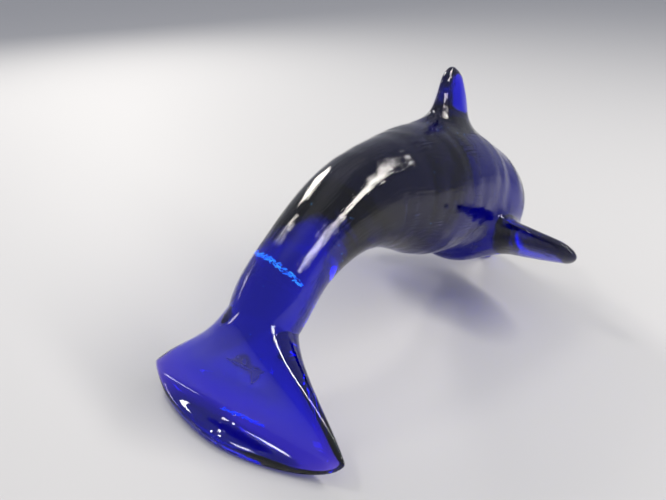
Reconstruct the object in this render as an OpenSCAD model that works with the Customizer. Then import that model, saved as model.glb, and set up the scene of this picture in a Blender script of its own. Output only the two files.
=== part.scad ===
// Solid glass dolphin figurine, arched, standing on its tail flukes and its beak.
// Frame: +X towards the head, +Y to the dolphin's left, +Z up, in millimetres.
// The origin is on the ground, in the middle of the figurine's length and width.

/* [Centre line] */
// Length of the centre line, from the trailing edge of the flukes to the tip of the beak
line_length = 186.5; // [178:0.5:195]
// Slope of the centre line at the trailing edge of the flukes, in degrees
slope_edge = 3; // [0:1:8]
// Slope where the flat of the flukes ends
slope_foot = 10; // [6:1:14]
// Slope just above the bend of the flukes
slope_bend = 60; // [56:1:64]
// Slope where the flukes become the tail stock
slope_stock = 68; // [60:1:70]
// Slope halfway up the tail stock
slope_seam = 50; // [46:1:58]
// Slope on the loin
slope_loin = 22; // [16:1:28]
// Slope on the middle of the back
slope_back = -7.5; // [-12:0.5:-2]
// Slope on the chest
slope_chest = -14; // [-18:1:-8]
// Slope on the neck
slope_neck = -45; // [-52:1:-38]
// Slope at the tip of the beak
slope_beak = -54; // [-58:1:-50]

/* [Body] */
// Half depth of the tail stock
stock_half = 10.5; // [9:0.5:12]
// Half depth of the loin
loin_half = 11.2; // [10:0.1:14]
// Half depth of the waist, between loin and chest
waist_half = 14.9; // [13:0.1:17]
// Half depth of the chest
chest_half = 20.3; // [18:0.1:23]
// Half depth of the shoulder, under the dorsal fin
shoulder_half = 20.8; // [18:0.1:23]
// Half depth of the head, level with the eyes
head_half = 20.1; // [17:0.1:22]
// Half depth of the melon, just above the beak
melon_half = 11; // [9:0.5:13]
// Half depth of the beak at its root
beak_half = 6.4; // [5:0.2:8]
// Half depth of the beak at its tip
beak_tip_half = 3.6; // [3:0.2:5]
// Width of the tail stock as a share of its depth
stock_width_ratio = 0.92; // [0.85:0.01:1.05]
// Width of the back as a share of its depth
back_width_ratio = 0.92; // [0.85:0.01:1.05]
// Width of the head as a share of its depth
head_width_ratio = 0.99; // [0.85:0.01:1.05]
// How much deeper the belly is than the back under the chest, as a share
belly_fullness = 0.1; // [0:0.01:0.14]

/* [Flukes] */
// Half of the span of the flukes, from the middle to one tip
fluke_half_span = 35.3; // [30:0.1:38]
// Length of the flukes along the centre line
fluke_chord = 36.4; // [33:0.1:42]
// Half thickness of the glass at the trailing edge
edge_half = 1.8; // [1.6:0.1:3]
// Half thickness of the glass in the middle of the flukes
fluke_half = 2.5; // [2.4:0.1:4.5]
// Where the flukes are widest, as a share of their chord
fluke_widest = 0.34; // [0.3:0.01:0.45]

/* [Dorsal fin] */
// Where the fin stands on the centre line, as a share of its length
dorsal_place = 0.67; // [0.64:0.01:0.72]
// Height of the fin above the back
dorsal_height = 17.2; // [13:0.1:20]
// How far the tip is swept back
dorsal_sweep = 3.9; // [2:0.1:9]
// Half of the fin's length at its root
dorsal_chord = 11; // [9:0.1:13]
// Half of the fin's thickness at its root
dorsal_thick = 5.3; // [4:0.1:6]

/* [Pectoral fins] */
// Where each fin leaves the flank, as a share of the centre line
pectoral_place = 0.805; // [0.78:0.005:0.82]
// Distance of each fin's tip from the middle plane
pectoral_reach = 48.1; // [42:0.1:52]
// Height of each fin's tip above the ground
pectoral_tip_height = 26.9; // [22:0.1:30]
// How far each tip is swept back
pectoral_sweep = 16; // [8:0.1:18]
// Half of each fin's width at its root
pectoral_chord = 12.2; // [10:0.1:14]
// Half of each fin's thickness at its root
pectoral_thick = 5.5; // [5:0.1:7]

/* [Hidden] */
glass_colour = [0.05, 0.08, 0.55];
dorsal_bow = 2.9;
dorsal_tip_chord = 3.6;
dorsal_tip_thick = 1.8;
pectoral_bow = 3.6;
pectoral_lift = 1.3;
pectoral_tip_chord = 4.4;
pectoral_tip_thick = 2.2;

// Centre line: its slopes at shares of its length
line_shares = [0, 0.03, 0.06, 0.1, 0.2, 0.35, 0.5, 0.65, 0.8, 1];
line_slopes = [
    slope_edge, slope_foot, slope_bend, slope_stock, slope_seam, slope_loin, slope_back, slope_chest,
    slope_neck, slope_beak
];

// Half depth of the glass at shares of the centre line
stock_share = fluke_chord / line_length;
fluke_middle = 0.4;
depth_shares = [0, fluke_middle * stock_share, stock_share, 0.3, 0.45, 0.6, 0.73, 0.84, 0.9, 0.94, 1];
depth_halves = [
    edge_half, fluke_half, stock_half, loin_half, waist_half, chest_half, shoulder_half, head_half,
    melon_half, beak_half, beak_tip_half
];

// Half width as a share of half depth
width_shares = [0, 0.25, 0.5, 0.75, 1];
beak_width_ratio = 0.95;
width_ratios = [stock_width_ratio, stock_width_ratio, back_width_ratio, head_width_ratio, beak_width_ratio];

// Where on the centre line the belly is fullest, and how far that reaches
belly_share = 0.63;
belly_reach = 0.13;

// The seam between tail and body, and how finely the glass is faceted
seam_share = 0.25;
tail_rings = 26;
tail_ring_crowding = 1.4;
body_rings = 40;
body_ring_crowding = 1.2;
ring_sides = 32;
fin_rings = 14;
fin_sides = 24;
fin_last_angle = 88;

// The ground has worn the glass flat by this much at the flukes and at the beak
foot_depth = 0.4;

// Roundness of the edges: the flukes end blunt, and the beak ends in a dome
edge_round_share = 0.02;
edge_blunt = 0.2;
beak_round_share = 0.022;
beak_blunt = 0.2;
fluke_squareness = 6;
fluke_fullness = 1.6;
fluke_hollow = 1.2;
fluke_shoulder = 0.35;
narrowest_half = 3;

// Seats on which the fins are fused: depth under the skin, and size
seat_depth = 2.2;
dorsal_seat_length = 60;
pectoral_seat_length = 38;
seat_width = 30;
seat_outward = 60;
dorsal_root_sink = 3;
dorsal_taper = 1.4;
dorsal_round_from = 0.8;
pectoral_taper = 1.6;
pectoral_round_from = 0.85;
pectoral_below_line = 7.3;
pectoral_root_share = 0.55;
pectoral_seat_down = 15;
pectoral_seat_forward = 6;

// Slope of a smooth curve through (xs, ys) at its point i
function knot_slope(xs, ys, i) =
    i == 0 ? (ys[1] - ys[0]) / (xs[1] - xs[0])
    : i == len(xs) - 1 ? (ys[i] - ys[i - 1]) / (xs[i] - xs[i - 1])
    : let (before = xs[i] - xs[i - 1], after = xs[i + 1] - xs[i])
      (before ^ 2 * ys[i + 1] + (after ^ 2 - before ^ 2) * ys[i] - after ^ 2 * ys[i - 1])
      / (before * after * (before + after));

// Index of the span of xs that holds x
function span_of(x, xs, i = 0) = i >= len(xs) - 2 || x <= xs[i + 1] ? i : span_of(x, xs, i + 1);

// Smooth curve through the points (xs, ys), at x
function smooth(x, xs, ys) =
    let (
        i = span_of(x, xs),
        h = xs[i + 1] - xs[i],
        t = (x - xs[i]) / h
    )
    (2 * t ^ 3 - 3 * t ^ 2 + 1) * ys[i]
    + (t ^ 3 - 2 * t ^ 2 + t) * h * knot_slope(xs, ys, i)
    + (3 * t ^ 2 - 2 * t ^ 3) * ys[i + 1]
    + (t ^ 3 - t ^ 2) * h * knot_slope(xs, ys, i + 1);

function slope_at(share) = smooth(share, line_shares, line_slopes);

// Centre line, walked in short steps from the trailing edge to the beak: points of [share, x, z]
walk_steps = 200;
line_points = [
    for (
        i = 0, p = [0, 0, edge_half - foot_depth];
        i <= walk_steps;
        p = let (slope = slope_at((i + 0.5) / walk_steps), step = line_length / walk_steps)
            [(i + 1) / walk_steps, p[1] + step * cos(slope), p[2] + step * sin(slope)],
        i = i + 1
    ) p
];

// Point of the centre line at a share of its length, before centring, as [x, z]
function line_at(share) =
    let (
        place = share * walk_steps,
        i = min(floor(place), walk_steps - 1),
        t = place - i,
        p = line_points[i],
        q = line_points[i + 1]
    )
    [p[1] + (q[1] - p[1]) * t, p[2] + (q[2] - p[2]) * t];

// Half depth and half width of the plain body, without the flukes
function depth_at(share) = smooth(share, depth_shares, depth_halves);
function width_at(share) = depth_at(share) * smooth(share, width_shares, width_ratios);

// Half width of the flukes: an oval towards the trailing edge, a hollow curve towards the stock
function fluke_width_at(share) =
    let (
        v = share / stock_share,
        stock = width_at(stock_share),
        w = max(0, min(1, (v - fluke_widest) / (1 - fluke_widest))),
        fall = fluke_shoulder * (0.5 + 0.5 * cos(180 * w)) + (1 - fluke_shoulder) * (1 - w) ^ fluke_hollow
    )
    v < fluke_widest
    ? fluke_half_span * (1 - (1 - v / fluke_widest) ^ fluke_fullness) ^ (1 / fluke_fullness)
    : stock + (fluke_half_span - stock) * fall;

// Rounding of the two ends, as a share of the full section
function end_round(share) =
    let (past_root = (share - 1 + beak_round_share) / beak_round_share)
    share < edge_round_share ? edge_blunt + (1 - edge_blunt) * sqrt(1 - (1 - share / edge_round_share) ^ 2)
    : past_root > 0 ? sqrt(max(beak_blunt ^ 2, 1 - past_root ^ 2))
    : 1;

function signed_power(x, p) = sign(x) * abs(x) ^ p;

// Depth of the belly as a share of the depth of the back
function belly_at(share) = 1 + belly_fullness * max(0, 1 - ((share - belly_share) / belly_reach) ^ 2) ^ 2;

// One ring of the body at a share of the centre line, before centring
function ring(share) =
    let (
        flat = max(0, 1 - share / stock_share),
        power = 2 / (2 + fluke_squareness * flat),
        round_off = end_round(share),
        beak_end = share > 1 - beak_round_share ? round_off : 1,
        half_depth = depth_at(share) * round_off,
        half_width = flat > 0 ? max(narrowest_half, fluke_width_at(share)) : width_at(share) * beak_end,
        c = line_at(share),
        slope = slope_at(share)
    )
    [
        for (k = [0 : ring_sides - 1])
            let (
                angle = 360 * k / ring_sides,
                up = half_depth * sin(angle) * (angle > 180 ? belly_at(share) : 1),
                side = half_width * signed_power(cos(angle), power)
            )
            [c[0] - up * sin(slope), side, c[1] + up * cos(slope)]
    ];

tail_shares = [for (i = [0 : tail_rings]) seam_share * (i / tail_rings) ^ tail_ring_crowding];
body_shares = [
    for (i = [0 : body_rings])
        seam_share + (1 - seam_share) * (1 - (1 - i / body_rings) ^ body_ring_crowding)
];
tail_loft = [for (share = tail_shares) ring(share)];
body_loft = [for (share = body_shares) ring(share)];

// The middle of the figurine's length, which is where the origin goes
all_x = [for (r = concat(tail_loft, body_loft)) for (p = r) if (p[2] > 0) p[0]];
middle_x = (min(all_x) + max(all_x)) / 2;

// Middle of a ring
function mean(points) = [for (axis = [0 : 2]) [for (p = points) p[axis]] * [for (p = points) 1] / len(points)];

// Closed solid through a list of rings, with a fan of triangles over each end
module loft(rings) {
    count = len(rings);
    sides = len(rings[0]);
    points = concat([for (r = rings) for (p = r) p], [mean(rings[0]), mean(rings[count - 1])]);
    walls = [
        for (i = [0 : count - 2])
            for (k = [0 : sides - 1])
                let (a = i * sides + k, b = i * sides + (k + 1) % sides, c = b + sides, d = a + sides)
                each [[a, c, b], [a, d, c]]
    ];
    first = [for (k = [0 : sides - 1]) [count * sides, k, (k + 1) % sides]];
    last_ring = (count - 1) * sides;
    last = [for (k = [0 : sides - 1]) [count * sides + 1, last_ring + (k + 1) % sides, last_ring + k]];
    polyhedron(points, concat(walls, first, last), convexity = 6);
}

// Everything above the ground
module above_ground() {
    reach = 2 * line_length;
    translate([-reach, -reach, 0])
        cube(2 * reach);
}

// Places a child at a share of the centre line: its X along the line, its Z out of the back
module on_line(share) {
    c = line_at(share);
    translate([c[0], 0, c[1]])
        rotate([0, -slope_at(share), 0])
            children();
}

// Point of a curve that leaves a towards b and ends at c
function bend(w, a, b, c) = (1 - w) ^ 2 * a + 2 * w * (1 - w) * b + w ^ 2 * c;
function unit(v) = v / norm(v);

// A fin: oval rings from its root to its rounded tip, with halves given as [chord, thickness].
// Its chord narrows by the power taper, and its tip is rounded from the share round_from of its length.
module fin(root, middle, tip, chord_way, root_half, tip_half, taper, round_from) {
    outward = unit(tip - root);
    chord = unit(chord_way - outward * (outward * chord_way));
    across = cross(outward, chord);
    shares = [for (i = [0 : fin_rings]) sin(fin_last_angle * i / fin_rings)];
    loft([
        for (w = shares)
            let (
                c = bend(w, root, middle, tip),
                past = max(0, (w - round_from) / (1 - round_from)),
                round_off = sqrt(1 - past ^ 2),
                half_chord = (root_half[0] + (tip_half[0] - root_half[0]) * w ^ taper) * round_off,
                half_thick = (root_half[1] + (tip_half[1] - root_half[1]) * w) * round_off
            )
            [
                for (k = [0 : fin_sides - 1])
                    let (angle = 360 * k / fin_sides)
                    c + chord * half_chord * cos(angle) + across * half_thick * sin(angle)
            ]
    ]);
}

// The dorsal fin's root and tip, given in the frame of the centre line where it stands
module dorsal_blade() {
    back = depth_at(dorsal_place);
    root = [0, 0, back - dorsal_root_sink];
    tip = [-dorsal_sweep, 0, back + dorsal_height];
    on_line(dorsal_place)
        fin(root, (root + tip) / 2 + [dorsal_bow, 0, 0], tip, [1, 0, 0],
            [dorsal_chord, dorsal_thick], [dorsal_tip_chord, dorsal_tip_thick],
            dorsal_taper, dorsal_round_from);
}

// The right pectoral fin
module pectoral_blade() {
    c = line_at(pectoral_place);
    slope = slope_at(pectoral_place);
    along = [cos(slope), 0, sin(slope)];
    out_of_back = [-sin(slope), 0, cos(slope)];
    root = [c[0], -pectoral_root_share * width_at(pectoral_place), c[1]] - out_of_back * pectoral_below_line;
    tip = [c[0] - pectoral_sweep, -pectoral_reach, pectoral_tip_height];
    middle = (root + tip) / 2 + along * pectoral_bow + [0, 0, pectoral_lift];
    fin(root, middle, tip, along,
        [pectoral_chord, pectoral_thick], [pectoral_tip_chord, pectoral_tip_thick],
        pectoral_taper, pectoral_round_from);
}

// Everything outside the seat of the dorsal fin
module dorsal_side() {
    on_line(dorsal_place)
        translate([-dorsal_seat_length / 2, -seat_width / 2, depth_at(dorsal_place) - seat_depth])
            cube([dorsal_seat_length, seat_width, seat_outward]);
}

// Everything outside the seat of the right pectoral fin
module pectoral_side() {
    on_line(pectoral_place)
        rotate([pectoral_seat_down, 0, 0])
            rotate([0, 0, pectoral_seat_forward])
                translate([
                    -pectoral_seat_length / 2,
                    -seat_outward - width_at(pectoral_place) + seat_depth,
                    -seat_width / 2 - pectoral_below_line / 2
                ])
                    cube([pectoral_seat_length, seat_outward, seat_width]);
}

module left_side() {
    mirror([0, 1, 0])
        children();
}

// The glass between the seam and the beak, before the fins' seats are cut
module torso() {
    intersection() {
        loft(body_loft);
        above_ground();
    }
}

// A part of the torso's skin with a fin standing on it
module fused_fin() {
    intersection() {
        union() {
            torso();
            children(0);
        }
        children(1);
    }
}

module body() {
    color(glass_colour)
        centred()
            difference() {
                torso();
                dorsal_side();
                pectoral_side();
                left_side() pectoral_side();
            }
}

module tail() {
    color(glass_colour)
        centred()
            intersection() {
                loft(tail_loft);
                above_ground();
            }
}

module dorsal_fin() {
    color(glass_colour)
        centred()
            fused_fin() {
                dorsal_blade();
                dorsal_side();
            }
}

module right_pectoral_fin() {
    color(glass_colour)
        centred()
            fused_fin() {
                pectoral_blade();
                pectoral_side();
            }
}

module left_pectoral_fin() {
    left_side() right_pectoral_fin();
}

module centred() {
    translate([-middle_x, 0, 0])
        children();
}

body();
tail();
dorsal_fin();
left_pectoral_fin();
right_pectoral_fin();
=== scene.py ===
"""A solid cobalt-glass dolphin figurine on a pale studio floor.

The glass is one smooth skin with the fins melted into the body, worked out as a distance field in
millimetres and cut into the same pieces as the CAD nodes. +X is towards the head, +Z is up.
"""

import math
import random

import bmesh
import bpy
import numpy as np
from mathutils import Matrix, Vector


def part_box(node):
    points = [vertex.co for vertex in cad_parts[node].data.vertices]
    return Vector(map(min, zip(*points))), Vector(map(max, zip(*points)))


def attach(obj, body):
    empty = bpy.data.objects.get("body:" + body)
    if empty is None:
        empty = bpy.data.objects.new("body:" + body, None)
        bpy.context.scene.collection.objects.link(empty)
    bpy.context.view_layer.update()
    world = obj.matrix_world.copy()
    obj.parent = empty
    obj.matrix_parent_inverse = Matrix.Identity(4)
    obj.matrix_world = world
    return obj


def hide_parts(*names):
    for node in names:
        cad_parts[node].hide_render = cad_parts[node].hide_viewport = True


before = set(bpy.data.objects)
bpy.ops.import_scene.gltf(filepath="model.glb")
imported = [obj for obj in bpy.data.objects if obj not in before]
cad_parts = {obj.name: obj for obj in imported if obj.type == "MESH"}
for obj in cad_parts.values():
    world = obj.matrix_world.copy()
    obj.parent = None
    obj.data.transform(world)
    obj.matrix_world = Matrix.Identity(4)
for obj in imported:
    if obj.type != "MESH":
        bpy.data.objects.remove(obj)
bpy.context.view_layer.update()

MM = 0.001

# ---------------------------------------------------------------- dimensions: millimetres, degrees and shares

LINE_LENGTH = 186.5
LINE_SHARES = np.array([0, 0.03, 0.06, 0.1, 0.2, 0.35, 0.5, 0.65, 0.8, 1])
LINE_SLOPES = np.array([3, 10, 60, 68, 50, 22, -7.5, -14, -45, -54])
WALK_STEPS = 400

FLUKE_CHORD = 36.4
FLUKE_HALF_SPAN = 35.3
FLUKE_WIDEST = 0.34
FLUKE_FULLNESS = 1.6
FLUKE_SHOULDER = 0.35
FLUKE_HOLLOW = 1.2
FLUKE_SQUARENESS = 6.0
EDGE_HALF = 1.8
FOOT_DEPTH = 0.4

STOCK_SHARE = FLUKE_CHORD / LINE_LENGTH
DEPTH_SHARES = np.array([0, 0.4 * STOCK_SHARE, STOCK_SHARE, 0.3, 0.45, 0.6, 0.73, 0.84, 0.9, 0.94, 1])
DEPTH_HALVES = np.array([EDGE_HALF, 2.5, 10.5, 11.2, 14.9, 20.3, 20.8, 20.1, 11, 6.4, 3.6])
BELLY_FULLNESS = 0.1
BELLY_SHARE = 0.63
BELLY_REACH = 0.13
WIDTH_SHARES = np.array([0, 0.25, 0.5, 0.75, 1])
WIDTH_RATIOS = np.array([0.92, 0.92, 0.92, 0.99, 0.95])
BEAK_ROUND_SHARE = 0.022
EDGE_ROUND_SHARE = 0.02
EDGE_BLUNT = 0.2

SEAM_SHARE = 0.25
SEAT_DEPTH = 2.2
SEAT_GAP = 0.02
FLOOR_GAP = 0.02

DORSAL_PLACE = 0.67
DORSAL_ROOT_SINK = 3
DORSAL_HEIGHT = 17.2
DORSAL_SWEEP = 3.9
DORSAL_BOW = 2.9
DORSAL_ROOT = [11, 5.3]
DORSAL_TIP = [3.6, 1.8]
DORSAL_TAPER = 1.4
DORSAL_ROUND_FROM = 0.8

PECTORAL_PLACE = 0.805
PECTORAL_BELOW_LINE = 7.3
PECTORAL_ROOT_SHARE = 0.55
PECTORAL_SWEEP = 16
PECTORAL_REACH = 48.05
PECTORAL_TIP_HEIGHT = 26.9
PECTORAL_BOW = 3.6
PECTORAL_LIFT = 1.3
PECTORAL_ROOT = [12.2, 5.5]
PECTORAL_TIP = [4.4, 2.2]
PECTORAL_TAPER = 1.6
PECTORAL_ROUND_FROM = 0.85
PECTORAL_SEAT_DOWN = 15
PECTORAL_SEAT_FORWARD = 6

CHEST_SHARE = 0.66
CHEST_REACH = 0.28
RING_HEIGHT = 0.09
RING_LENGTH = 8.5
FINE_RING_LENGTH = 5.7
FACET_HEIGHT = 0.05
FACETS_ROUND = 5
FINE_FACETS_ROUND = 8
SWELL_HEIGHT = 0.05
SWELL_LENGTH = 31
FIN_FILLET = 6.0
GROUND_ROUND = 0.5
CELL = 0.6
COARSE_CELLS = 4
GRID_LOW = np.array([-3.1, -50.9, -1.4])
GRID_HIGH = np.array([152.0, 51.0, 79.0])

SEED = 7
SEAM_FLECKS = 110
SEAM_FLECKS_FROM = 48
SEAM_FLECKS_TO = -70
SEAM_FLECK_LENGTHS = (0.25, 0.8)
SEAM_FLECK_WIDTHS = (0.08, 0.22)
FOOT_FLECKS = 60
FOOT_FLECKS_START = np.array([9.4, 5, 3.9])
FOOT_FLECKS_RUN = np.array([2, -14, 0])
FOOT_FLECK_LENGTHS = (0.3, 0.9)
FOOT_FLECK_WIDTHS = (0.1, 0.25)
LOOSE_FLECK_RADII = (0.05, 0.11)
TAIL_LOOSE_FLECKS = 12
BODY_LOOSE_FLECKS = 36
FIBRES_FROM = 0.17
FIBRES_FULL = 0.24


# ---------------------------------------------------------------- curves

def smooth_curve(x, xs, ys):
    """A smooth curve through the points (xs, ys), at x."""
    slopes = np.gradient(ys, xs)
    i = np.clip(np.searchsorted(xs, x) - 1, 0, len(xs) - 2)
    h = xs[i + 1] - xs[i]
    t = (x - xs[i]) / h
    rise = (3 - 2 * t) * t ** 2
    return (
        ys[i] * (1 - rise)
        + ys[i + 1] * rise
        + h * slopes[i] * (t ** 3 - 2 * t ** 2 + t)
        + h * slopes[i + 1] * (t ** 3 - t ** 2)
    )


def walk_line():
    """The centre line's points (x, z), walked from the trailing edge of the flukes to the beak."""
    middles = (np.arange(WALK_STEPS) + 0.5) / WALK_STEPS
    slopes = np.radians(smooth_curve(middles, LINE_SHARES, LINE_SLOPES))
    steps = np.stack([np.cos(slopes), np.sin(slopes)], 1) * LINE_LENGTH / WALK_STEPS
    start = np.array([[0, EDGE_HALF - FOOT_DEPTH]])
    return np.concatenate([start, start + np.cumsum(steps, 0)])


LINE = walk_line()
LINE_STEPS = np.linspace(0, 1, WALK_STEPS + 1)
LINE_ANGLES = np.radians(smooth_curve(LINE_STEPS, LINE_SHARES, LINE_SLOPES))
LINE_TANGENTS = np.stack([np.cos(LINE_ANGLES), np.sin(LINE_ANGLES)], 1) * LINE_LENGTH / WALK_STEPS


def line_at(share):
    """Points of the centre line (x, z) and its unit direction there."""
    slope = np.radians(smooth_curve(share, LINE_SHARES, LINE_SLOPES))
    place = np.clip(share * WALK_STEPS, 0, WALK_STEPS)
    i = np.minimum(place.astype(int), WALK_STEPS - 1)
    t = (place - i)[..., None]
    a, b = LINE[i], LINE[i + 1]
    rise = (3 - 2 * t) * t ** 2
    point = (
        a * (1 - rise)
        + b * rise
        + LINE_TANGENTS[i] * (t ** 3 - 2 * t ** 2 + t)
        + LINE_TANGENTS[i + 1] * (t ** 3 - t ** 2)
    )
    return point, np.stack([np.cos(slope), np.sin(slope)], -1)


def depth_at(share):
    return smooth_curve(share, DEPTH_SHARES, DEPTH_HALVES)


def width_at(share):
    return depth_at(share) * smooth_curve(share, WIDTH_SHARES, WIDTH_RATIOS)


def fluke_width_at(share):
    """Half width of the flukes: an oval at the trailing edge, a hollow curve into the stock."""
    v = share / STOCK_SHARE
    stock = width_at(np.array(STOCK_SHARE))
    oval = (1 - np.clip(1 - v / FLUKE_WIDEST, 0, 1) ** FLUKE_FULLNESS) ** (1 / FLUKE_FULLNESS)
    w = np.clip((v - FLUKE_WIDEST) / (1 - FLUKE_WIDEST), 0, 1)
    fall = FLUKE_SHOULDER * (0.5 + 0.5 * np.cos(np.pi * w)) + (1 - FLUKE_SHOULDER) * (1 - w) ** FLUKE_HOLLOW
    return np.where(v < FLUKE_WIDEST, FLUKE_HALF_SPAN * oval, stock + (FLUKE_HALF_SPAN - stock) * fall)


# ---------------------------------------------------------------- distance to the glass

def oval_distance(x, y, half_x, half_y, power=2.0):
    """Nearly the distance of (x, y) from an oval with those halves; power squares it off along x."""
    x, y = np.abs(x) / half_x, np.abs(y) / half_y
    size = x ** power + y ** 2
    steep = np.hypot(power * x ** (power - 1) / half_x, 2 * y / half_y)
    root = np.sqrt(np.maximum(size, 1e-9))
    return (root - 1) * 2 * root / np.maximum(steep, 1e-4)


def nearest_share(points):
    """The share of the centre line nearest to each point, seen from the side."""
    coarse = LINE[::4]
    flat = points[:, [0, 2]]
    best = np.empty(len(points), int)
    for i in range(0, len(points), 200000):
        part = flat[i:i + 200000]
        gap = (part[:, None, 0] - coarse[None, :, 0]) ** 2 + (part[:, None, 1] - coarse[None, :, 1]) ** 2
        best[i:i + 200000] = gap.argmin(1)
    share = best * 4.0 / WALK_STEPS
    for _ in range(4):
        c, way = line_at(share)
        ahead = ((flat - c) * way).sum(1)
        share = np.clip(share + 0.8 * ahead / LINE_LENGTH, 0, 1)
    return share


def body_coordinates(points):
    """Each point in the body's own coordinates: share of the line, up, side and past the ends."""
    share = nearest_share(points)
    c, way = line_at(share)
    away = points[:, [0, 2]] - c
    up = away[:, 1] * way[:, 0] - away[:, 0] * way[:, 1]
    past = np.where(share > 0.5, 1, -1) * (away * way).sum(1)
    past -= np.minimum(share, 1 - share) * LINE_LENGTH
    return share, up, points[:, 1], past


def body_distance(share, up, side, past):
    """Distance from the body with its flukes, without the fins."""
    flat = np.clip(1 - share / STOCK_SHARE, 0, 1)
    beak = np.sqrt(1 - np.clip((share - 1 + BEAK_ROUND_SHARE) / BEAK_ROUND_SHARE, 0, 1) ** 2)
    edge = np.sqrt(1 - np.clip(1 - share / EDGE_ROUND_SHARE, 0, 1) ** 2)
    half_up = np.maximum(depth_at(share) * beak * (EDGE_BLUNT + (1 - EDGE_BLUNT) * edge), 0.05)
    half_side = np.where(flat > 0, fluke_width_at(share), width_at(share) * beak)
    belly = 1 + BELLY_FULLNESS * np.clip(1 - ((share - BELLY_SHARE) / BELLY_REACH) ** 2, 0, 1) ** 2
    half_up = np.where(up < 0, half_up * belly, half_up)
    near = oval_distance(side, up, np.maximum(half_side, 0.05), half_up, 2 + FLUKE_SQUARENESS * flat)
    return np.minimum(np.maximum(near, past), 0) + np.hypot(np.maximum(near, 0), np.maximum(past, 0))


class Fin:
    """A fin drawn out from its root to a rounded tip; halves are [chord, thickness]."""

    def __init__(self, root, middle, tip, chord_way, root_half, tip_half, taper, round_from):
        self.root, self.middle, self.tip = (np.array(p, float) for p in (root, middle, tip))
        self.root_half, self.tip_half = root_half, tip_half
        self.taper, self.round_from = taper, round_from
        reach = self.tip - self.root
        self.length = np.linalg.norm(reach)
        self.outward = reach / self.length
        chord = np.array(chord_way, float)
        chord -= self.outward * (self.outward @ chord)
        self.chord = chord / np.linalg.norm(chord)
        self.across = np.cross(self.outward, self.chord)
        self.lean = (self.middle - self.root) @ self.outward

    def distance(self, points):
        height = (points - self.root) @ self.outward
        inside = np.clip(height, 0, self.length)
        w = inside / (self.lean + np.sqrt(self.lean ** 2 + (self.length - 2 * self.lean) * inside))
        w = np.clip(w, 0, 1)[:, None]
        centre = (1 - w) ** 2 * self.root + 2 * w * (1 - w) * self.middle + w ** 2 * self.tip
        w = w[:, 0]
        past = np.clip((w - self.round_from) / (1 - self.round_from), 0, 1)
        round_off = np.sqrt(1 - past ** 2)
        root, tip = self.root_half, self.tip_half
        half_chord = (root[0] + (tip[0] - root[0]) * w ** self.taper) * round_off
        half_thick = (root[1] + (tip[1] - root[1]) * w) * round_off
        away = points - centre
        near = oval_distance(
            away @ self.chord, away @ self.across, np.maximum(half_chord, 0.05), np.maximum(half_thick, 0.05)
        )
        beyond = height - inside
        return np.where(beyond == 0, near, np.hypot(np.maximum(near, 0), beyond))


def point_on_line(share):
    c, way = line_at(np.array(share))
    along = np.array([way[0], 0, way[1]])
    out_of_back = np.array([-way[1], 0, way[0]])
    return np.array([c[0], 0, c[1]]), along, out_of_back


def dorsal_fin():
    c, along, out_of_back = point_on_line(DORSAL_PLACE)
    back = float(depth_at(np.array(DORSAL_PLACE)))
    root = c + out_of_back * (back - DORSAL_ROOT_SINK)
    tip = c + out_of_back * (back + DORSAL_HEIGHT) - along * DORSAL_SWEEP
    middle = (root + tip) / 2 + along * DORSAL_BOW
    return Fin(root, middle, tip, along, DORSAL_ROOT, DORSAL_TIP, DORSAL_TAPER, DORSAL_ROUND_FROM)


def pectoral_fin(side):
    """side is +1 for the left fin and -1 for the right."""
    c, along, out_of_back = point_on_line(PECTORAL_PLACE)
    width = float(width_at(np.array(PECTORAL_PLACE)))
    root = c + np.array([0, side * PECTORAL_ROOT_SHARE * width, 0]) - out_of_back * PECTORAL_BELOW_LINE
    tip = np.array([c[0] - PECTORAL_SWEEP, side * PECTORAL_REACH, PECTORAL_TIP_HEIGHT])
    middle = (root + tip) / 2 + along * PECTORAL_BOW + np.array([0, 0, PECTORAL_LIFT])
    return Fin(root, middle, tip, along, PECTORAL_ROOT, PECTORAL_TIP, PECTORAL_TAPER, PECTORAL_ROUND_FROM)


FINS = {
    "dorsal_fin": dorsal_fin(),
    "left_pectoral_fin": pectoral_fin(1),
    "right_pectoral_fin": pectoral_fin(-1),
}


def melt(a, b, width):
    """The nearer of two distances, with a fillet where they meet."""
    blend = np.clip(width - np.abs(a - b), 0, None) / width
    return np.minimum(a, b) - blend ** 2 * width / 4


def ripple(share, up, side):
    """How far the hand-worked skin lies inside the ideal one: rings round the chest, facets along it."""
    along = share * LINE_LENGTH
    turn = np.arctan2(side, up)
    chest = np.clip(1 - np.abs(share - CHEST_SHARE) / CHEST_REACH, 0, 1) ** 0.5
    rings = np.sin(along * 2 * np.pi / RING_LENGTH + 1.6 * np.sin(2 * turn + 0.4))
    rings = 0.6 * rings + 0.4 * np.sin(along * 2 * np.pi / FINE_RING_LENGTH + 2.2 * np.sin(turn + 1.1) + 0.7)
    facets = 0.6 * np.sin(FACETS_ROUND * turn + 1.2 * np.sin(along / 17))
    facets = facets + 0.4 * np.sin(FINE_FACETS_ROUND * turn + along / 23 + 2)
    swell = np.sin(along * 2 * np.pi / SWELL_LENGTH + 2 * np.sin(turn))
    wave = RING_HEIGHT * chest * rings + FACET_HEIGHT * facets + SWELL_HEIGHT * swell
    return wave + RING_HEIGHT * chest + FACET_HEIGHT + SWELL_HEIGHT


def glass_distance(points):
    """Nearly the distance of each point from the skin of the glass, negative inside."""
    share, up, side, past = body_coordinates(points)
    near = body_distance(share, up, side, past) + ripple(share, up, side)
    for fin in FINS.values():
        near = melt(near, fin.distance(points), FIN_FILLET)
    return -melt(-near, points[:, 2], GROUND_ROUND)


# ---------------------------------------------------------------- the skin as a mesh

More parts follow.
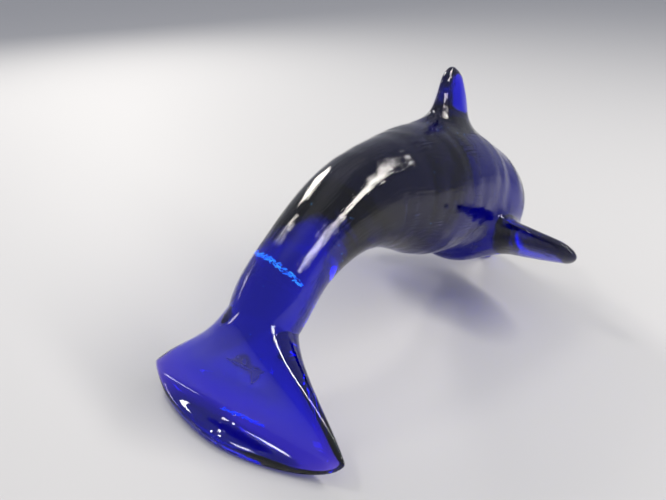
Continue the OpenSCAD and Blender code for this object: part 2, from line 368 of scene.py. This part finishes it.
def field_grid():
    """The distance field on a grid of cells, worked out finely only near the skin."""
    low, coarse = GRID_LOW, COARSE_CELLS
    count = (np.ceil((GRID_HIGH - low) / (CELL * coarse)).astype(int)) + 1
    axes = [low[k] + np.arange(count[k]) * CELL * coarse for k in range(3)]
    points = np.stack(np.meshgrid(*axes, indexing="ij"), -1).reshape(-1, 3)
    rough = glass_distance(points).reshape(count)
    near = np.abs(rough) < CELL * coarse * 1.8
    fine_count = (count - 1) * coarse + 1
    grow = np.zeros(tuple(count - 1), bool)
    for dx in (0, 1):
        for dy in (0, 1):
            for dz in (0, 1):
                grow |= near[dx:count[0] - 1 + dx, dy:count[1] - 1 + dy, dz:count[2] - 1 + dz]
    index = [np.minimum(np.arange(fine_count[k]) // coarse, count[k] - 2) for k in range(3)]
    mask = grow[np.ix_(*index)]
    for axis in range(3):
        back = np.roll(mask, 1, axis)
        mask = mask | back
    rounded = [np.round(np.arange(fine_count[k]) / coarse).astype(int) for k in range(3)]
    nearest = [np.clip(rounded[k], 0, count[k] - 1) for k in range(3)]
    field = rough[np.ix_(*nearest)].copy()
    where = np.argwhere(mask)
    field[mask] = glass_distance(low + where * CELL)
    return field, low


def surface_net(field, low):
    """A closed quad mesh round the inside of a field: one vertex in each cell that the skin crosses."""
    inside = field < 0
    shape = np.array(field.shape) - 1
    corners = [(dx, dy, dz) for dx in (0, 1) for dy in (0, 1) for dz in (0, 1)]
    total = np.zeros(shape, int)
    for dx, dy, dz in corners:
        total += inside[dx:shape[0] + dx, dy:shape[1] + dy, dz:shape[2] + dz]
    cells = np.argwhere((total > 0) & (total < 8))
    number = np.full(shape, -1)
    number[tuple(cells.T)] = np.arange(len(cells))
    summed = np.zeros((len(cells), 3))
    crossings = np.zeros(len(cells))
    for a in corners:
        for axis in range(3):
            if a[axis]:
                continue
            b = list(a)
            b[axis] = 1
            fa = field[tuple((cells + a).T)]
            fb = field[tuple((cells + b).T)]
            cross = (fa < 0) != (fb < 0)
            t = np.where(cross, fa / np.where(cross, fa - fb, 1), 0)
            spot = cells + np.array(a) + t[:, None] * (np.array(b) - np.array(a))
            summed[cross] += spot[cross]
            crossings += cross
    vertices = low + summed / crossings[:, None] * CELL
    quads = []
    for axis in range(3):
        u, v = (axis + 1) % 3, (axis + 2) % 3
        ahead = [slice(None)] * 3
        ahead[axis] = slice(1, None)
        behind = [slice(None)] * 3
        behind[axis] = slice(None, -1)
        flips = np.argwhere(inside[tuple(ahead)] != inside[tuple(behind)])
        flips = flips[(flips[:, u] > 0) & (flips[:, v] > 0)]
        starts_inside = inside[tuple(flips.T)]
        ring = []
        for du, dv in ((0, 0), (-1, 0), (-1, -1), (0, -1)):
            cell = flips.copy()
            cell[:, u] += du
            cell[:, v] += dv
            ring.append(number[tuple(cell.T)])
        ring = np.stack(ring, 1)
        ring[~starts_inside] = ring[~starts_inside][:, ::-1]
        quads.append(ring)
    return vertices, np.concatenate(quads)


def field_slope(points, step=0.05):
    """The gradient of the distance field."""
    slope = np.empty_like(points)
    for axis in range(3):
        shift = np.zeros(3)
        shift[axis] = step
        slope[:, axis] = (glass_distance(points + shift) - glass_distance(points - shift)) / (2 * step)
    return slope


def settle(vertices, rounds=2):
    """Moves vertices onto the skin along the field's slope."""
    for _ in range(rounds):
        slope = field_slope(vertices)
        steep = np.maximum((slope ** 2).sum(1), 0.05)
        move = slope * (glass_distance(vertices) / steep)[:, None]
        length = np.linalg.norm(move, axis=1)
        move *= np.minimum(1, 0.5 * CELL / np.maximum(length, 1e-9))[:, None]
        vertices = vertices - move
    return vertices


def relax(vertices, quads, rounds=3):
    """Evens out the quads by pulling each vertex towards its neighbours' middle."""
    edges = np.concatenate([quads[:, [k, (k + 1) % 4]] for k in range(4)])
    for _ in range(rounds):
        summed = np.zeros_like(vertices)
        for axis in range(3):
            summed[:, axis] += np.bincount(edges[:, 0], vertices[edges[:, 1], axis], len(vertices))
            summed[:, axis] += np.bincount(edges[:, 1], vertices[edges[:, 0], axis], len(vertices))
        count = sum(np.bincount(edges[:, k], minlength=len(vertices)) for k in (0, 1))
        vertices = vertices * 0.4 + 0.6 * summed / count[:, None]
    return vertices


def skin():
    vertices, quads = surface_net(*field_grid())
    vertices = settle(relax(vertices, quads))
    vertices = settle(relax(vertices, quads, 2))
    return vertices, quads


# ---------------------------------------------------------------- the pieces

TRAILING_LEAN = 0.03
START_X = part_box("tail")[0].x + TRAILING_LEAN * MM


def to_frame(points):
    """From the skin's millimetres, counted from the trailing edge, to the frame's metres."""
    return points * MM + np.array([START_X, 0, 0])


def from_frame(points):
    return (points - np.array([START_X, 0, 0])) / MM


class Cut:
    """A flat cut through the glass: a point on it and the way that the cut-off piece lies."""

    def __init__(self, point, way):
        self.point = Vector(to_frame(np.array(point)))
        self.way = Vector(way).normalized()

    def side(self, point):
        return (point - self.point).dot(self.way)


def seam_cut():
    c, along, _ = point_on_line(SEAM_SHARE)
    return Cut(c, -along)


def dorsal_cut():
    c, _, out_of_back = point_on_line(DORSAL_PLACE)
    back = float(depth_at(np.array(DORSAL_PLACE)))
    return Cut(c + out_of_back * (back - SEAT_DEPTH), out_of_back)


def pectoral_cut(side):
    c, along, out_of_back = point_on_line(PECTORAL_PLACE)
    down = math.radians(PECTORAL_SEAT_DOWN)
    forward = math.radians(PECTORAL_SEAT_FORWARD)
    across = np.array([0, side, 0])
    outward = math.cos(forward) * across + math.sin(forward) * along
    way = math.cos(down) * outward - math.sin(down) * out_of_back
    width = float(width_at(np.array(PECTORAL_PLACE)))
    return Cut(c + way * (width - SEAT_DEPTH), way)


def cut_off(whole, cut, start):
    """Cuts a bmesh along a plane. Takes away what lies past it round the start point, and caps both."""
    near = [f for f in whole.faces if abs(cut.side(f.calc_center_median())) < 6 * CELL * MM]
    geometry = list({v for f in near for v in f.verts}) + list({e for f in near for e in f.edges}) + near
    bmesh.ops.bisect_plane(whole, geom=geometry, plane_co=cut.point, plane_no=cut.way, dist=1e-8)
    whole.faces.ensure_lookup_table()
    past = {f for f in whole.faces if cut.side(f.calc_center_median()) > 0}
    first = min(past, key=lambda f: (f.calc_center_median() - start).length)
    taken, front = {first}, [first]
    while front:
        face = front.pop()
        for edge in face.edges:
            for other in edge.link_faces:
                if other in past and other not in taken:
                    taken.add(other)
                    front.append(other)
    for face in whole.faces:
        face.tag = face in taken
    piece = whole.copy()
    bmesh.ops.delete(piece, geom=[f for f in piece.faces if not f.tag], context="FACES")
    bmesh.ops.delete(whole, geom=[f for f in whole.faces if f.tag], context="FACES")
    cap(piece, cut, 1)
    cap(whole, cut, -1)
    return piece


def cap(mesh, cut, sign):
    """Closes the open edge of a cut with one flat face, half the gap back from the plane."""
    seat = mesh.faces.layers.int["seat"]
    edges = [e for e in mesh.edges if e.is_boundary]
    for vertex in {v for e in edges for v in e.verts}:
        vertex.co += cut.way * (sign * SEAT_GAP / 2 * MM - cut.side(vertex.co))
    made = bmesh.ops.holes_fill(mesh, edges=edges, sides=0)["faces"]
    for face in made:
        face[seat] = 1


def skin_bmesh():
    vertices, quads = skin()
    mesh = bpy.data.meshes.new("skin")
    mesh.from_pydata(to_frame(vertices).tolist(), [], quads.tolist())
    whole = bmesh.new()
    whole.from_mesh(mesh)
    bpy.data.meshes.remove(mesh)
    whole.faces.layers.int.new("seat")
    whole.faces.layers.int.new("fleck")
    bmesh.ops.recalc_face_normals(whole, faces=whole.faces)
    return whole


def add_fleck(mesh, place, way, half_length, half_width):
    """A small blue fleck in the glass, drawn out along way; its faces take the fleck material with the
    painted glow.
    """
    turn = Vector(way).to_track_quat("X", "Z").to_matrix().to_4x4()
    size = Matrix.Diagonal((half_length * MM, half_width * MM, half_width * MM, 1))
    matrix = Matrix.Translation(to_frame(place)) @ turn @ size
    made = bmesh.ops.create_icosphere(mesh, subdivisions=2, radius=1, matrix=matrix)["verts"]
    faces = list({f for v in made for f in v.link_faces})
    fleck = mesh.faces.layers.int["fleck"]
    for face in faces:
        face[fleck] = 1
        # Slot 1 is the fleck material, whose blue glow is painted light.
        face.material_index = 1


def under_skin(share, turn, depth):
    """A point of the body at a depth under its skin, turned that many degrees from the back to the left."""
    c, _, out_of_back = point_on_line(share)
    up = (float(depth_at(np.array(share))) - depth) * math.cos(math.radians(turn))
    side = (float(width_at(np.array(share))) - depth) * math.sin(math.radians(turn))
    return c + out_of_back * up + np.array([0, side, 0])


def add_seam_flecks(mesh):
    """The row of flecks caught where the body was fused to the tail."""
    chance = random.Random(SEED)
    for i in range(SEAM_FLECKS):
        t = (i + chance.uniform(-1, 1)) / SEAM_FLECKS
        turn = SEAM_FLECKS_FROM + (SEAM_FLECKS_TO - SEAM_FLECKS_FROM) * t
        share = SEAM_SHARE + 0.004 + 0.014 * (1 - t) + chance.uniform(-0.003, 0.003)
        place = under_skin(share, turn, chance.uniform(0.5, 1.4))
        way = under_skin(share + chance.uniform(-0.008, 0.008), turn - 10, 1) - under_skin(share, turn, 1)
        add_fleck(mesh, place, way, chance.uniform(*SEAM_FLECK_LENGTHS), chance.uniform(*SEAM_FLECK_WIDTHS))


def add_foot_flecks(mesh):
    """The short row of flecks over the middle of the foot."""
    chance = random.Random(SEED + 1)
    for i in range(FOOT_FLECKS):
        t = i / FOOT_FLECKS
        place = FOOT_FLECKS_START + FOOT_FLECKS_RUN * t + [chance.uniform(-0.5, 0.5) for _ in range(3)]
        way = (0.3 + chance.uniform(-0.3, 0.3), -1, 0.1)
        add_fleck(mesh, place, way, chance.uniform(*FOOT_FLECK_LENGTHS), chance.uniform(*FOOT_FLECK_WIDTHS))


def add_loose_flecks(mesh, first_share, last_share, count, seed):
    chance = random.Random(seed)
    for _ in range(count):
        share = chance.uniform(first_share, last_share)
        place = under_skin(share, chance.uniform(-120, 120), chance.uniform(0.25, 1.2))
        _, along, _ = point_on_line(share)
        radius = chance.uniform(*LOOSE_FLECK_RADII)
        add_fleck(mesh, place, along, radius * chance.uniform(1, 2), radius)


def draw_out(name, points):
    """Coordinates along the way that the glass of a piece was drawn out, and across it twice."""
    if name in FINS:
        fin = FINS[name]
        return np.stack([(points - fin.root) @ way for way in (fin.outward, fin.chord, fin.across)], 1)
    share, up, side, _ = body_coordinates(points)
    return np.stack([share * LINE_LENGTH, up, side], 1)


def fibres_at(points):
    """How plainly the fibres show, from 0 on the pressed flukes to 1 on the drawn-out stock and body."""
    return np.clip((nearest_share(points) - FIBRES_FROM) / (FIBRES_FULL - FIBRES_FROM), 0, 1)


def glass_piece(name, mesh):
    """A Blender object from a bmesh, with its true normals and its flow along the body."""
    data = bpy.data.meshes.new("glass_" + name)
    mesh.to_mesh(data)
    mesh.free()
    place = np.zeros(len(data.vertices) * 3)
    data.vertices.foreach_get("co", place)
    points = from_frame(place.reshape(-1, 3))
    slope = field_slope(points)
    normals = slope / np.linalg.norm(slope, axis=1)[:, None]
    data.polygons.foreach_set("use_smooth", np.ones(len(data.polygons), bool))
    loop_vertex = np.zeros(len(data.loops), int)
    data.loops.foreach_get("vertex_index", loop_vertex)
    loop_normals = normals[loop_vertex]
    seats = data.attributes["seat"].data
    flecks = data.attributes["fleck"].data
    for polygon in data.polygons:
        loops = list(polygon.loop_indices)
        if seats[polygon.index].value:
            loop_normals[loops] = polygon.normal
        elif flecks[polygon.index].value:
            loop_normals[loops] = [data.vertices[v].normal for v in polygon.vertices]
    data.normals_split_custom_set(loop_normals.tolist())
    flow = data.attributes.new("flow", "FLOAT_VECTOR", "POINT")
    flow.data.foreach_set("vector", (draw_out(name, points) * MM).ravel())
    fibrous = data.attributes.new("fibrous", "FLOAT", "POINT")
    fibrous.data.foreach_set("value", fibres_at(points))
    piece = bpy.data.objects.new("glass_" + name, data)
    bpy.context.scene.collection.objects.link(piece)
    return piece


def glass_pieces():
    whole = skin_bmesh()
    tips = {name: Vector(to_frame(fin.tip)) for name, fin in FINS.items()}
    cuts = {
        "dorsal_fin": dorsal_cut(),
        "left_pectoral_fin": pectoral_cut(1),
        "right_pectoral_fin": pectoral_cut(-1),
    }
    tail = cut_off(whole, seam_cut(), Vector(to_frame(np.zeros(3))))
    add_foot_flecks(tail)
    add_loose_flecks(tail, 0.12, 0.24, TAIL_LOOSE_FLECKS, SEED + 2)
    pieces = {"tail": glass_piece("tail", tail)}
    for name, cut in cuts.items():
        pieces[name] = glass_piece(name, cut_off(whole, cut, tips[name]))
    add_seam_flecks(whole)
    add_loose_flecks(whole, 0.27, 0.9, BODY_LOOSE_FLECKS, SEED + 3)
    pieces["body"] = glass_piece("body", whole)
    return pieces


# ---------------------------------------------------------------- materials

GLASS_BEND = 1.52
COBALT = (0.2, 0.0, 0.96, 1)
COBALT_DENSITY = 960


def cobalt_glass():
    """Clear glass that absorbs all but blue. Its flat seats bend no light, so that the pieces look fused."""
    material = bpy.data.materials.new("cobalt_glass")
    material.use_nodes = True
    nodes, links = material.node_tree.nodes, material.node_tree.links
    shader = nodes["Principled BSDF"]
    output = nodes["Material Output"]
    shader.inputs["Base Color"].default_value = (1, 1, 1, 1)
    shader.inputs["Transmission Weight"].default_value = 1
    shader.inputs["IOR"].default_value = GLASS_BEND
    shader.inputs["Roughness"].default_value = 0.0

    absorb = nodes.new("ShaderNodeVolumeAbsorption")
    absorb.inputs["Color"].default_value = COBALT
    absorb.inputs["Density"].default_value = COBALT_DENSITY
    links.new(absorb.outputs["Volume"], output.inputs["Volume"])

    seat = nodes.new("ShaderNodeAttribute")
    seat.attribute_name = "seat"
    bend = nodes.new("ShaderNodeMapRange")
    bend.inputs["To Min"].default_value = GLASS_BEND
    bend.inputs["To Max"].default_value = 1.0
    links.new(seat.outputs["Fac"], bend.inputs["Value"])
    links.new(bend.outputs["Result"], shader.inputs["IOR"])

    flow = nodes.new("ShaderNodeAttribute")
    flow.attribute_name = "flow"
    stretch = nodes.new("ShaderNodeMapping")
    stretch.inputs["Scale"].default_value = (45, 1300, 1300)
    links.new(flow.outputs["Vector"], stretch.inputs["Vector"])
    fibres = nodes.new("ShaderNodeTexNoise")
    fibres.inputs["Scale"].default_value = 1
    fibres.inputs["Detail"].default_value = 3
    links.new(stretch.outputs["Vector"], fibres.inputs["Vector"])
    bump = nodes.new("ShaderNodeBump")
    bump.inputs["Strength"].default_value = 1
    bump.inputs["Distance"].default_value = 0.0002
    patches = nodes.new("ShaderNodeTexNoise")
    patches.inputs["Scale"].default_value = 60
    links.new(flow.outputs["Vector"], patches.inputs["Vector"])
    depth = nodes.new("ShaderNodeMapRange")
    depth.inputs["From Min"].default_value = 0.4
    depth.inputs["From Max"].default_value = 0.65
    depth.inputs["To Min"].default_value = 0.25
    links.new(patches.outputs["Fac"], depth.inputs["Value"])
    height = nodes.new("ShaderNodeMath")
    height.operation = "MULTIPLY"
    links.new(fibres.outputs["Fac"], height.inputs[0])
    links.new(depth.outputs["Result"], height.inputs[1])
    fibrous = nodes.new("ShaderNodeAttribute")
    fibrous.attribute_name = "fibrous"
    faded = nodes.new("ShaderNodeMath")
    faded.operation = "MULTIPLY"
    links.new(height.outputs["Value"], faded.inputs[0])
    links.new(fibrous.outputs["Fac"], faded.inputs[1])
    links.new(faded.outputs["Value"], bump.inputs["Height"])
    links.new(bump.outputs["Normal"], shader.inputs["Normal"])
    return material


def fleck_painted_glow():
    material = bpy.data.materials.new("fleck_painted_glow")
    material.use_nodes = True
    shader = material.node_tree.nodes["Principled BSDF"]
    # Painted glow: the emission makes the flecks shine blue with no lamp behind them. It stands in for the
    # light that the real bubbles catch through the blue glass. The flecks themselves are real.
    shader.inputs["Base Color"].default_value = (0.05, 0.6, 1, 1)
    shader.inputs["Roughness"].default_value = 0.4
    shader.inputs["Emission Color"].default_value = (0.02, 0.4, 1, 1)
    shader.inputs["Emission Strength"].default_value = 0.8
    return material


def pale_floor_material():
    material = bpy.data.materials.new("pale_floor")
    material.use_nodes = True
    shader = material.node_tree.nodes["Principled BSDF"]
    shader.inputs["Base Color"].default_value = (0.6, 0.6, 0.6, 1)
    shader.inputs["Roughness"].default_value = 0.6
    return material


# ---------------------------------------------------------------- studio

def floor():
    size = 3.0
    mesh = bpy.data.meshes.new("floor")
    corners = [(x * size, y * size, -FLOOR_GAP * MM) for x, y in ((-1, -1), (1, -1), (1, 1), (-1, 1))]
    mesh.from_pydata(corners, [], [(0, 1, 2, 3)])
    mesh.materials.append(pale_floor_material())
    plane = bpy.data.objects.new("floor", mesh)
    bpy.context.scene.collection.objects.link(plane)


# Here lengths are in metres
CAMERA_TARGET = Vector((-0.017, 0.00626, 0.0324))
CAMERA_AZIMUTH = 39.94
CAMERA_ELEVATION = 24.99
CAMERA_DISTANCE = 0.2087
CAMERA_ROLL = -1.06
MIDDLE = Vector((0, 0, 0.03))
STRIP_DISTANCE = 0.7
WARM = (1, 0.96, 0.9)


def look_at(target, azimuth, elevation, distance, roll=0):
    """A placement that looks at target, turned azimuth from +X towards +Y, and from elevation above."""
    turn, tilt = math.radians(azimuth), math.radians(elevation)
    forward = Vector((math.cos(turn) * math.cos(tilt), math.sin(turn) * math.cos(tilt), -math.sin(tilt)))
    facing = forward.to_track_quat("-Z", "Y").to_matrix().to_4x4()
    rolled = facing @ Matrix.Rotation(math.radians(roll), 4, "Z")
    return Matrix.Translation(target - forward * distance) @ rolled


def camera():
    data = bpy.data.cameras.new("camera")
    data.sensor_width = 36
    data.lens = 37.84
    data.clip_start = 0.01
    view = bpy.data.objects.new("camera", data)
    view.matrix_world = look_at(
        CAMERA_TARGET, CAMERA_AZIMUTH, CAMERA_ELEVATION, CAMERA_DISTANCE, CAMERA_ROLL
    )
    bpy.context.scene.collection.objects.link(view)
    bpy.context.scene.camera = view


def direction(azimuth, elevation):
    turn, tilt = math.radians(azimuth), math.radians(elevation)
    return Vector((math.cos(turn) * math.cos(tilt), math.sin(turn) * math.cos(tilt), math.sin(tilt)))


def strip_light(name, start, end, width, glow, colour=WARM):
    """A strip that faces the figurine, from one (azimuth, elevation) to another; glow is its brightness."""
    a, b = (MIDDLE + direction(*way) * STRIP_DISTANCE for way in (start, end))
    centre = (a + b) / 2
    facing = (MIDDLE - centre).normalized()
    along = (b - a).normalized()
    along = (along - facing * along.dot(facing)).normalized()
    across = facing.cross(along) * -1
    data = bpy.data.lights.new(name, "AREA")
    data.shape = "RECTANGLE"
    data.size = (b - a).length
    data.size_y = width
    data.energy = glow * data.size * data.size_y * math.pi
    data.color = colour
    light = bpy.data.objects.new(name, data)
    axes = Matrix((along, across, -facing)).transposed()
    light.matrix_world = Matrix.Translation(centre) @ axes.to_4x4()
    bpy.context.scene.collection.objects.link(light)


def studio():
    strip_light("left_high", (60, 20), (82, 42), 0.07, 24)
    strip_light("left_low", (100, 54), (121, 57), 0.07, 20)
    strip_light("left_edge", (96, 20), (118, 12), 0.04, 8)
    strip_light("left_fin", (128, -6), (140, 10), 0.04, 8)
    strip_light("right", (-30, 50), (-90, 20), 0.07, 24)
    strip_light("above", (130, 76), (-50, 76), 0.9, 0.3, (1, 1, 1))
    world = bpy.data.worlds.new("studio")
    world.use_nodes = True
    world.node_tree.nodes["Background"].inputs["Color"].default_value = (0.8, 0.82, 0.92, 1)
    world.node_tree.nodes["Background"].inputs["Strength"].default_value = 0.5
    bpy.context.scene.world = world


# ---------------------------------------------------------------- the scene

camera()
floor()
studio()
glass = cobalt_glass()
fleck = fleck_painted_glow()
for node, piece in glass_pieces().items():
    piece.data.materials.append(glass)
    # The body and the tail also take the fleck material with the painted blue glow.
    if node in ("body", "tail"):
        piece.data.materials.append(fleck)
    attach(piece, "root")
    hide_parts(node)

bpy.context.scene.view_settings.view_transform = "Standard"
bpy.context.scene.cycles.max_bounces = 24
bpy.context.scene.cycles.transmission_bounces = 24
bpy.context.scene.cycles.transparent_max_bounces = 24
